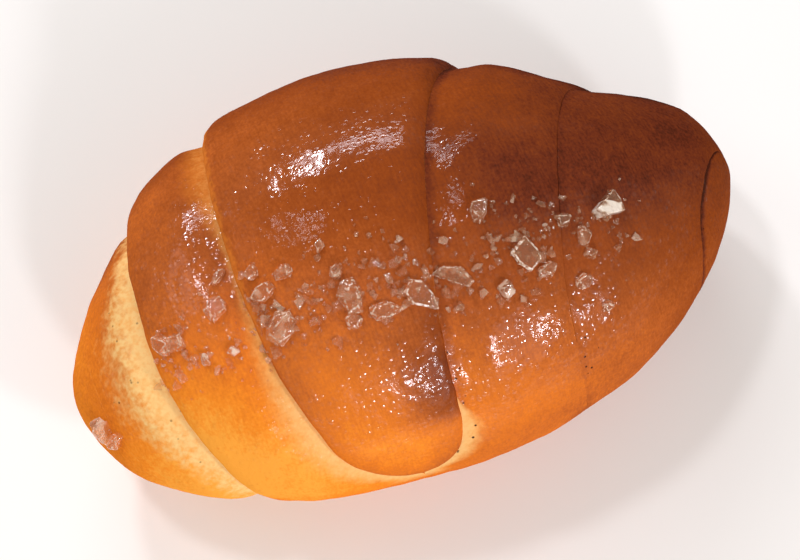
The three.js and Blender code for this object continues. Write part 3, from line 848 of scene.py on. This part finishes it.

# Large salt crystals. Coarse salt, broken into flat chips and blocks, thrown on the wet wash
# before baking and half sunk in it. Their rims are chipped and white, partly real frost and
# partly a painted highlight where they catch the light; their faces are clear.

# Millimetres along the roll, degrees from the crest down the near side, and millimetres and
# degrees for the crystal itself. milk is how white it is inside: 0 is clear. rim is how white
# its rims are, frost and painted highlight together, where they aren't like the others. The
# first four are plates with outlines of their own, drawn as seen from above and turned by
# PICTURE_TURN. One is clear past a line.
PICTURE_TURN = -20.5
CRYSTALS = [
    {"along": 33.0, "around": 12.0, "height": 2.2, "turn": PICTURE_TURN, "milk": 1.0, "clear above": 0.5,
     "outline": [(0.5, 2.9), (-2.7, -1.1), (-1.6, -2.2), (2.4, -0.8), (1.7, 1.3)]},
    {"along": 16.5, "around": 17.5, "height": 1.3, "turn": PICTURE_TURN, "milk": 0.1, "rim": 1.0,
     "outline": [(-0.6, 2.9), (-2.7, 0.0), (-1.3, -1.7), (0.8, -2.8), (2.4, -0.6), (1.6, 1.0)]},
    {"along": -1.5, "around": 19.5, "height": 1.2, "turn": PICTURE_TURN, "milk": 0.0, "rim": 0.9,
     "outline": [(-1.8, 2.2), (-2.7, 0.0), (-1.3, -1.7), (3.3, -2.2), (2.1, 0.3), (0.0, 2.2)]},
    {"along": 5.0, "around": 17.0, "height": 0.9, "turn": PICTURE_TURN, "milk": 0.35,
     "outline": [(-3.7, 0.6), (-1.1, -0.4), (2.5, -1.7), (3.5, -0.8), (1.6, 1.6), (-1.4, 1.9)]},
    {"along": -7.2, "around": 21.0, "length": 6.0, "width": 3.2, "height": 1.1, "turn": -15, "milk": 0.15},
    {"along": -11.5, "around": 14.0, "length": 5.8, "width": 4.4, "height": 1.7, "turn": 75, "milk": 0.3},
    {"along": -12.2, "around": 20.0, "length": 3.4, "width": 2.6, "height": 1.3, "turn": 20, "milk": 0.4},
    {"along": 11.8, "around": 2.0, "length": 4.4, "width": 3.2, "height": 1.3, "turn": 60, "milk": 0.3},
    {"along": 12.2, "around": 24.5, "length": 3.6, "width": 2.6, "height": 1.6, "turn": 80, "milk": 0.65},
    {"along": 19.0, "around": 24.0, "length": 3.4, "width": 2.6, "height": 1.0, "turn": 20, "milk": 0.35},
    {"along": 24.8, "around": 11.5, "length": 2.8, "width": 2.4, "height": 1.4, "turn": 0, "milk": 0.2},
    {"along": 27.2, "around": 18.0, "length": 3.6, "width": 2.4, "height": 1.3, "turn": 70, "milk": 0.4},
    {"along": 27.0, "around": 23.0, "length": 2.4, "width": 2.0, "height": 1.2, "turn": 30, "milk": 0.5},
    {"along": 24.8, "around": 31.5, "length": 3.0, "width": 2.4, "height": 1.2, "turn": 40, "milk": 0.1},
    {"along": 27.8, "around": 42.0, "length": 2.8, "width": 1.8, "height": 1.0, "turn": 15, "milk": 0.2},
    {"along": -23.2, "around": 15.5, "length": 5.6, "width": 4.8, "height": 1.8, "turn": 45, "milk": 0.35},
    {"along": -23.8, "around": 5.5, "length": 4.0, "width": 2.8, "height": 1.4, "turn": 10, "milk": 0.45},
    {"along": -20.0, "around": 3.0, "length": 3.6, "width": 2.4, "height": 1.2, "turn": 0, "milk": 0.4},
    {"along": -24.8, "around": 0.0, "length": 3.0, "width": 2.2, "height": 1.1, "turn": 55, "milk": 0.3},
    {"along": -32.0, "around": 4.5, "length": 4.2, "width": 3.6, "height": 1.2, "turn": 60, "milk": 0.15},
    {"along": -30.5, "around": -5.0, "length": 3.4, "width": 1.6, "height": 0.9, "turn": 35, "milk": 0.3},
    {"along": -41.5, "around": 7.5, "length": 4.2, "width": 3.4, "height": 1.6, "turn": 80, "milk": 0.3},
    {"along": -39.5, "around": 9.0, "length": 3.8, "width": 3.0, "height": 1.4, "turn": 20, "milk": 0.35},
    {"along": -56.0, "around": 40.0, "length": 4.2, "width": 3.2, "height": 2.2, "turn": 60, "milk": 0.4},
    {"along": -54.6, "around": 45.0, "length": 3.6, "width": 2.8, "height": 1.6, "turn": 20, "milk": 0.3},
    {"along": -56.6, "around": 33.0, "length": 2.6, "width": 2.2, "height": 1.5, "turn": 0, "milk": 0.7},
    {"along": -12.2, "around": 7.5, "length": 2.8, "width": 2.2, "height": 1.1, "turn": 30, "milk": 0.3},
    {"along": -13.2, "around": -1.0, "length": 2.4, "width": 1.6, "height": 1.0, "turn": 60, "milk": 0.4},
    {"along": -36.0, "around": 18.0, "length": 2.4, "width": 1.6, "height": 1.0, "turn": 85, "milk": 0.8},
    {"along": -32.0, "around": 18.0, "length": 2.2, "width": 1.8, "height": 1.0, "turn": 0, "milk": 0.8},
]

# How chips are broken, sunk, tipped and frosted, in millimetres and shares
CRYSTAL_SEED = 26
CRYSTAL_SIDES = 7
CORNER_SHIFT = 0.42
CORNER_REACH = (0.85, 1.2)
CRYSTAL_SUNK = 0.8
CRYSTAL_TIPPING = 0.25
PLATE_SHOULDER = 0.3
CHIP_TOP_SHARE = (0.45, 0.9)
CHIP_SHOULDER = (0.1, 0.6)
FLAT_ANGLE = math.radians(6)
RIM_WIDTH = 0.15
# How white most rims are: frost, with a painted highlight where they catch the light
COMMON_RIM = 0.65
FACE_FROST = 0.22
CLEAR_MILK = 0.1

# A crystal is dropped on the crust from a height, and only on the upper part of the roll.
# Near the crest a millimetre is about two degrees.
PLACING_HEIGHT = 8 * MM
LOWEST_SALT = 18 * MM
DEGREES_PER_MM = 2

# Salt: to the eye clear to milky grains that take their colour from the crust under them,
# with white rims, partly frost and partly a painted highlight, and small hard glints.
CLEAR_SALT = "#ffc48c"
WHITE_SALT = "#fff1df"
LEAST_WHITENESS = 0.12
SALT_PATTERN_SIZES = {"cloud": 2.2, "fine cloud": 0.55}
SALT_RELIEF = 0.2
SALT_STEPS = [
    ("clouded", "SMOOTHSTEP", "cloud", 0.42, 0.6, 0.2, 1.0),
    ("milky", "MULTIPLY", "clouded", "milk"),
    # Frost, on the rims together with a painted highlight, broken up by fine cloud
    ("chipped", "SMOOTHSTEP", "fine cloud", 0.35, 0.65, 0.15, 1.0),
    ("frosted", "MULTIPLY", "chipped", "frost"),
    ("whiteness", "MAXIMUM", "milky", "frosted", LEAST_WHITENESS),
    ("clearness", "LINEAR", "whiteness", 0, 1, 0.88, 0.1),
    ("alpha", "LINEAR", "whiteness", 0, 0.7, 0.36, 0.95),
]


def coarse_salt():
    """The salt's material, from the frost and milk of each face."""
    material = bare_material("coarse salt")
    tree = material.node_tree
    known = {}
    for name in ("frost", "milk"):
        known[name] = add_node(tree, "ShaderNodeAttribute", attribute_name=name).outputs["Fac"]
    place = add_node(tree, "ShaderNodeTexCoord").outputs["Object"]
    for name, size in SALT_PATTERN_SIZES.items():
        noise = {"Vector": place, "Scale": 1 / (size * MM)}
        known[name] = add_node(tree, "ShaderNodeTexNoise", noise).outputs[0]
    follow_steps(tree, known, SALT_STEPS)
    mixed = {
        MIX_SHARE: known["whiteness"],
        MIX_FIRST: linear(CLEAR_SALT),
        MIX_SECOND: linear(WHITE_SALT),
    }
    colour = add_node(tree, "ShaderNodeMix", mixed, data_type="RGBA").outputs[MIX_RESULT]
    broken = {"Height": known["fine cloud"], "Strength": 1.0, "Distance": SALT_RELIEF * MM}
    bump = add_node(tree, "ShaderNodeBump", broken).outputs[0]
    surface = {
        "Base Color": colour,
        "Transmission Weight": known["clearness"],
        "Alpha": known["alpha"],
        "Normal": bump,
        "Coat Normal": bump,
        "Roughness": 0.08,
        "IOR": 1.54,
        "Coat Weight": 1.0,
        "Coat Roughness": 0.03,
        "Coat IOR": 1.5,
    }
    shader = add_node(tree, "ShaderNodeBsdfPrincipled", surface).outputs[0]
    add_node(tree, "ShaderNodeOutputMaterial", {"Surface": shader})
    return material


def place_on_crust(along, around, turn):
    """A frame on the crust at a place along and around the roll: Z points out, X along the roll."""
    def distance(place):
        return math.hypot(place[0] - along, (place[1] - around) / DEGREES_PER_MM)

    nearest = min(crust_places, key=distance)
    vertex = crust.data.vertices[nearest[2]]
    outward = vertex.normal
    found = crust_tree.ray_cast(vertex.co + PLACING_HEIGHT * outward, -outward)[0]
    far = Vector((0, 1, 0))
    across = (far - outward * far.dot(outward)).normalized()
    ahead = across.cross(outward)
    axes = Matrix((ahead, across, outward)).transposed().to_4x4()
    return Matrix.Translation(found) @ axes @ Matrix.Rotation(math.radians(turn), 4, "Z")


def chip_outline(draw, length, width):
    """The corners of a broken chip, in order round it: uneven points about an ellipse."""
    corners = []
    for corner in range(CRYSTAL_SIDES):
        shift = draw.uniform(-CORNER_SHIFT, CORNER_SHIFT)
        angle = FULL_TURN * (corner + shift) / CRYSTAL_SIDES
        reach = draw.uniform(*CORNER_REACH) / 2
        corners.append((length * reach * math.cos(angle), width * reach * math.sin(angle)))
    return corners


salt_material = coarse_salt()
crust_tree = BVHTree.FromObject(crust, bpy.context.evaluated_depsgraph_get())
along_values = crust.data.attributes["along"].data
around_values = crust.data.attributes["around"].data
crust_places = [
    (along_values[vertex.index].value, around_values[vertex.index].value, vertex.index)
    for vertex in crust.data.vertices
    if vertex.co.z > LOWEST_SALT
]
draw = random.Random(CRYSTAL_SEED)
corners = []
faces = []
frosts = []
milks = []
for crystal in CRYSTALS:
    is_plate = "outline" in crystal
    outline = crystal["outline"] if is_plate else chip_outline(draw, crystal["length"], crystal["width"])
    stand = place_on_crust(crystal["along"], crystal["around"], crystal["turn"])
    tipping_way = draw.uniform(0, FULL_TURN)
    reach = max(math.hypot(*corner) for corner in outline)
    chip = bmesh.new()
    for x, y in outline:
        tipped = CRYSTAL_TIPPING * (x * math.cos(tipping_way) + y * math.sin(tipping_way)) / reach
        top = crystal["height"] * (1 + tipped)
        shoulder = top - PLATE_SHOULDER if is_plate else top * draw.uniform(*CHIP_SHOULDER)
        kept = 1 - PLATE_SHOULDER / math.hypot(x, y) if is_plate else draw.uniform(*CHIP_TOP_SHARE)
        chip.verts.new((x, y, -CRYSTAL_SUNK))
        chip.verts.new((x, y, shoulder))
        chip.verts.new((x * kept, y * kept, top))
    hull = bmesh.ops.convex_hull(chip, input=chip.verts)
    unused = list(set(hull["geom_interior"] + hull["geom_unused"]))
    bmesh.ops.delete(chip, geom=unused, context="VERTS")
    bmesh.ops.dissolve_limit(chip, angle_limit=FLAT_ANGLE, verts=chip.verts, edges=chip.edges)
    rims = bmesh.ops.bevel(
        chip, geom=chip.edges, offset=RIM_WIDTH, segments=1, affect="EDGES", clamp_overlap=True)
    rim_faces = set(rims["faces"])
    clear_from = crystal.get("clear above", reach)
    everything = chip.verts[:] + chip.edges[:] + chip.faces[:]
    bmesh.ops.bisect_plane(chip, geom=everything, plane_co=(0, clear_from, 0), plane_no=(0, 1, 0))
    bmesh.ops.recalc_face_normals(chip, faces=chip.faces)
    start = len(corners)
    chip.verts.index_update()
    corners += [stand @ (MM * vertex.co) for vertex in chip.verts]
    for face in chip.faces:
        faces.append([start + vertex.index for vertex in face.verts])
        frosts.append(crystal.get("rim", COMMON_RIM) if face in rim_faces else draw.uniform(0, FACE_FROST))
        is_clear = face.calc_center_median().y > clear_from
        milks.append(CLEAR_MILK if is_clear else crystal["milk"])
    chip.free()
crystals_mesh = bpy.data.meshes.new("salt_crystals")
crystals_mesh.from_pydata(corners, [], faces)
for name, values in (("frost", frosts), ("milk", milks)):
    crystals_mesh.attributes.new(name, "FLOAT", "FACE").data.foreach_set("value", values)
crystals_mesh.materials.append(salt_material)
crystals = bpy.data.objects.new("salt_crystals", crystals_mesh)
bpy.context.scene.collection.objects.link(crystals)
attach(crystals, "root")
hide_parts("roll")

# Small salt grains. The crumbs of the same salt, strewn in clumps along the crest between the
# crystals and stuck in the wash.

# Millimetres, and degrees from the crest down the near side for the salted line and its spread
GRAIN_SIZES = {
    "grains per square mm": 1.0,
    "least size": 0.6,
    "most size": 2.1,
    "clump size": 7.0,
    "salted start": -46.0,
    "salted end": 39.0,
    "salted fade": 6.0,
    "salted line": 14.0,
    "salted spread": 19.0,
}

# Shards of a few shapes, each the hull of random points in a cube. Most of them are small, and
# each has its own milk and frost.
GRAIN_SHAPES = 6
GRAIN_CORNERS = 12
GRAIN_SEED = 5
SMALL_GRAIN_POWER = 2.4
SHARD_HALF = 0.5
GRAIN_FINISH = {"milk": {"most": 0.5, "seed": 9}, "frost": {"most": 0.4, "seed": 10}}

# The numbered outputs of a Random Value node
RANDOM_VECTOR = 0
RANDOM_NUMBER = 1

# How thickly the grains lie, and how large they are
STREWING_STEPS = [
    ("start end", "ADD", "salted start", "salted fade"),
    ("fade start", "SUBTRACT", "salted end", "salted fade"),
    ("from start", "SMOOTHSTEP", "along", "salted start", "start end", 0, 1),
    ("to end", "SMOOTHSTEP", "along", "fade start", "salted end", 1, 0),
    ("within", "MULTIPLY", "from start", "to end"),
    ("off line", "SUBTRACT", "around", "salted line"),
    ("off size", "ABSOLUTE", "off line"),
    ("on line", "SMOOTHSTEP", "off size", 0, "salted spread", 1, 0),
    ("strewn", "MULTIPLY", "within", "on line"),
    ("per square m", "DIVIDE", "grains per square mm", MM * MM),
    ("most density", "MULTIPLY", "strewn", "per square m"),
    ("clump size m", "MULTIPLY", "clump size", MM),
    ("clump scale", "DIVIDE", 1, "clump size m"),
]
GRAIN_STEPS = [
    ("clumped", "SMOOTHSTEP", "clumps", 0.42, 0.62, 0.08, 1),
    ("density", "MULTIPLY", "most density", "clumped"),
    ("least m", "MULTIPLY", "least size", MM),
    ("most m", "MULTIPLY", "most size", MM),
    ("small mostly", "POWER", "size draw", SMALL_GRAIN_POWER),
    ("size", "LINEAR", "small mostly", 0, 1, "least m", "most m"),
]


def strewn_grains_tree(sizes, ground, material):
    """The tree that strews small salt shards over the crust's crest, thicker in clumps."""
    tree, known = tree_with_inputs("strewn salt", sizes)
    for name in ("along", "around"):
        known[name] = add_node(tree, "GeometryNodeInputNamedAttribute", {"Name": name}).outputs[0]
    follow_steps(tree, known, STREWING_STEPS)
    known["clumps"] = add_node(tree, "ShaderNodeTexNoise", {"Scale": known["clump scale"]}).outputs[0]
    sized = {"Min": 0.0, "Max": 1.0, "Seed": GRAIN_SEED + 1}
    size_draw = add_node(tree, "FunctionNodeRandomValue", sized, data_type="FLOAT")
    known["size draw"] = size_draw.outputs[RANDOM_NUMBER]
    follow_steps(tree, known, GRAIN_STEPS)

    surface = add_node(tree, "GeometryNodeObjectInfo", {"Object": ground}).outputs["Geometry"]
    strewn = {"Mesh": surface, "Density": known["density"], "Seed": GRAIN_SEED}
    points = add_node(tree, "GeometryNodeDistributePointsOnFaces", strewn).outputs["Points"]
    shards = []
    for shape in range(GRAIN_SHAPES):
        drawn = {"Min": (-SHARD_HALF,) * 3, "Max": (SHARD_HALF,) * 3, "Seed": shape}
        corner = add_node(tree, "FunctionNodeRandomValue", drawn, data_type="FLOAT_VECTOR")
        scattered = {"Count": GRAIN_CORNERS, "Position": corner.outputs[RANDOM_VECTOR]}
        corners = add_node(tree, "GeometryNodePoints", scattered).outputs[0]
        shards.append(add_node(tree, "GeometryNodeConvexHull", {0: corners}).outputs[0])
    kinds = add_node(tree, "GeometryNodeGeometryToInstance", {0: shards}).outputs[0]
    turned = {"Min": (0, 0, 0), "Max": (FULL_TURN,) * 3, "Seed": GRAIN_SEED}
    turn = add_node(tree, "FunctionNodeRandomValue", turned, data_type="FLOAT_VECTOR")
    laid = {
        "Points": points,
        "Instance": kinds,
        "Pick Instance": True,
        "Rotation": turn.outputs[RANDOM_VECTOR],
        "Scale": known["size"],
    }
    shape = add_node(tree, "GeometryNodeInstanceOnPoints", laid).outputs[0]
    for name, finish in GRAIN_FINISH.items():
        drawn = {"Min": 0.0, "Max": finish["most"], "Seed": finish["seed"]}
        value = add_node(tree, "FunctionNodeRandomValue", drawn, data_type="FLOAT")
        stored = {"Geometry": shape, "Name": name, "Value": value.outputs[RANDOM_NUMBER]}
        shape = add_node(tree, "GeometryNodeStoreNamedAttribute", stored, domain="INSTANCE").outputs[0]
    finish_tree(tree, shape, material)
    return tree


grains = made_by_tree("salt_grains", strewn_grains_tree(GRAIN_SIZES, crust, salt_material), GRAIN_SIZES)
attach(grains, "root")
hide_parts("roll")

# The floor that the roll stands on: a plain sheet of pale matt card, much larger than the roll,
# lying loose under it.

FLOOR_HALF = 1.5
FLOOR_COLOUR = "#f7f6f2"
FLOOR_ROUGHNESS = 0.9
floor_mesh = bpy.data.meshes.new("floor")
floor_corners = [(-1, -1), (1, -1), (1, 1), (-1, 1)]
floor_mesh.from_pydata([(x * FLOOR_HALF, y * FLOOR_HALF, 0) for x, y in floor_corners], [], [(0, 1, 2, 3)])
floor = bpy.data.objects.new("floor", floor_mesh)
bpy.context.scene.collection.objects.link(floor)
floor_material = bpy.data.materials.new("pale matt card")
floor_material.use_nodes = True
floor_shader = floor_material.node_tree.nodes["Principled BSDF"]
floor_shader.inputs["Base Color"].default_value = linear(FLOOR_COLOUR)
floor_shader.inputs["Roughness"].default_value = FLOOR_ROUGHNESS
floor_mesh.materials.append(floor_material)

# Studio light: three soft windows with brighter panes, where the gloss of the real roll shows
# them, and a dim room. Angles are in degrees, sizes in metres and power in watts.

LAMPS = {
    "far window": {"azimuth": 84, "elevation": 31, "width": 0.36, "height": 0.05, "power": 0.85},
    "far pane": {"azimuth": 100, "elevation": 35, "width": 0.08, "height": 0.04, "power": 1.0},
    "near window": {"azimuth": -78, "elevation": 30, "width": 0.6, "height": 0.36, "power": 0.66},
    "near left pane": {"azimuth": -92, "elevation": 30, "width": 0.08, "height": 0.08, "power": 1.1},
    "near right pane": {"azimuth": -60, "elevation": 28, "width": 0.08, "height": 0.07, "power": 1.0},
    "left window": {"azimuth": 142, "elevation": 40, "width": 0.3, "height": 0.3, "power": 0.36},
    "left pane": {"azimuth": 121, "elevation": 60, "width": 0.07, "height": 0.07, "power": 0.7},
}
LAMP_DISTANCE = 0.6
LAMP_COLOUR = "#f8f8ff"
ROOM_COLOUR = "#fff5e8"
ROOM_STRENGTH = 0.33
ROLL_MIDDLE = Vector((0, 0, 0.03))
for name, lamp in LAMPS.items():
    data = bpy.data.lights.new(name, "AREA")
    data.shape = "ELLIPSE"
    data.size = lamp["width"]
    data.size_y = lamp["height"]
    data.energy = lamp["power"]
    data.color = linear(LAMP_COLOUR)[:3]
    azimuth = math.radians(lamp["azimuth"])
    elevation = math.radians(lamp["elevation"])
    level = math.cos(elevation)
    way = Vector((level * math.cos(azimuth), level * math.sin(azimuth), math.sin(elevation)))
    light = bpy.data.objects.new(name, data)
    light.location = ROLL_MIDDLE + LAMP_DISTANCE * way
    light.rotation_euler = way.to_track_quat("Z", "Y").to_euler()
    bpy.context.scene.collection.objects.link(light)
world = bpy.data.worlds.new("dim room")
world.use_nodes = True
world.node_tree.nodes["Background"].inputs["Color"].default_value = linear(ROOM_COLOUR)
world.node_tree.nodes["Background"].inputs["Strength"].default_value = ROOM_STRENGTH
bpy.context.scene.world = world
bpy.context.scene.view_settings.view_transform = "Standard"

# The camera looks down on the roll from the near left, close to it.

CAMERA_AZIMUTH = math.radians(PICTURE_TURN)
CAMERA_ELEVATION = math.radians(76)
CAMERA_DISTANCE = 0.32
CAMERA_LENS = 84.2
CAMERA_SENSOR = 36.0
CAMERA_CLIP_START = 0.01
LOOK_HEIGHT = 0.022
LOOK_RIGHT = -1.03 * MM
LOOK_UP = -0.17 * MM
camera_level = math.cos(CAMERA_ELEVATION)
back = Vector((
    math.sin(CAMERA_AZIMUTH) * camera_level,
    -math.cos(CAMERA_AZIMUTH) * camera_level,
    math.sin(CAMERA_ELEVATION),
))
right = Vector((math.cos(CAMERA_AZIMUTH), math.sin(CAMERA_AZIMUTH), 0))
up = back.cross(right)
target = Vector((0, 0, LOOK_HEIGHT)) + right * LOOK_RIGHT + up * LOOK_UP
camera_data = bpy.data.cameras.new("camera")
camera_data.lens = CAMERA_LENS
camera_data.sensor_width = CAMERA_SENSOR
camera_data.sensor_fit = "HORIZONTAL"
camera_data.clip_start = CAMERA_CLIP_START
camera = bpy.data.objects.new("camera", camera_data)
camera_axes = Matrix((right, up, back)).transposed().to_4x4()
camera.matrix_world = Matrix.Translation(target + back * CAMERA_DISTANCE) @ camera_axes
bpy.context.scene.collection.objects.link(camera)
bpy.context.scene.camera = camera
